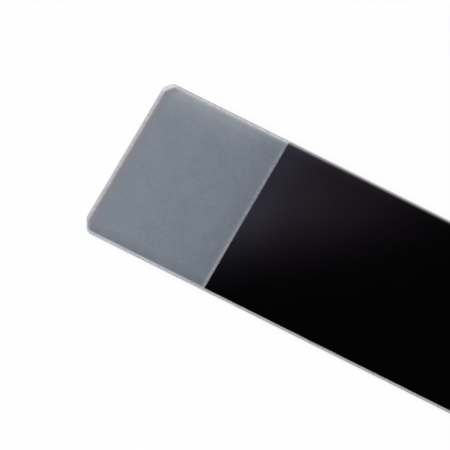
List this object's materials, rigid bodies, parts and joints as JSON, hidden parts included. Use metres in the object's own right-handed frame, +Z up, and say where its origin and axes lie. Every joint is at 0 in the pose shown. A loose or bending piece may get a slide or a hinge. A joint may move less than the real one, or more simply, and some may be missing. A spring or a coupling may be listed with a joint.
{
  "type": "microscope slide",
  "caption": "Flat glass microscope slide with a frosted labelling end, ground edges and clipped corners.",
  "frame": {"origin": "centre of the underside, on the surface the slide lies on", "axes": "+X along the slide from the frosted end to the clear end, +Y across it, +Z up out of the specimen face"},
  "size_m": [0.076, 0.026, 0.001],
  "materials": {
    "glass": "polished faces, finely ground edges, matt frosted end"
  },
  "bodies": {
    "root": {"glass_slide": "glass"}
  },
  "joints": []
}
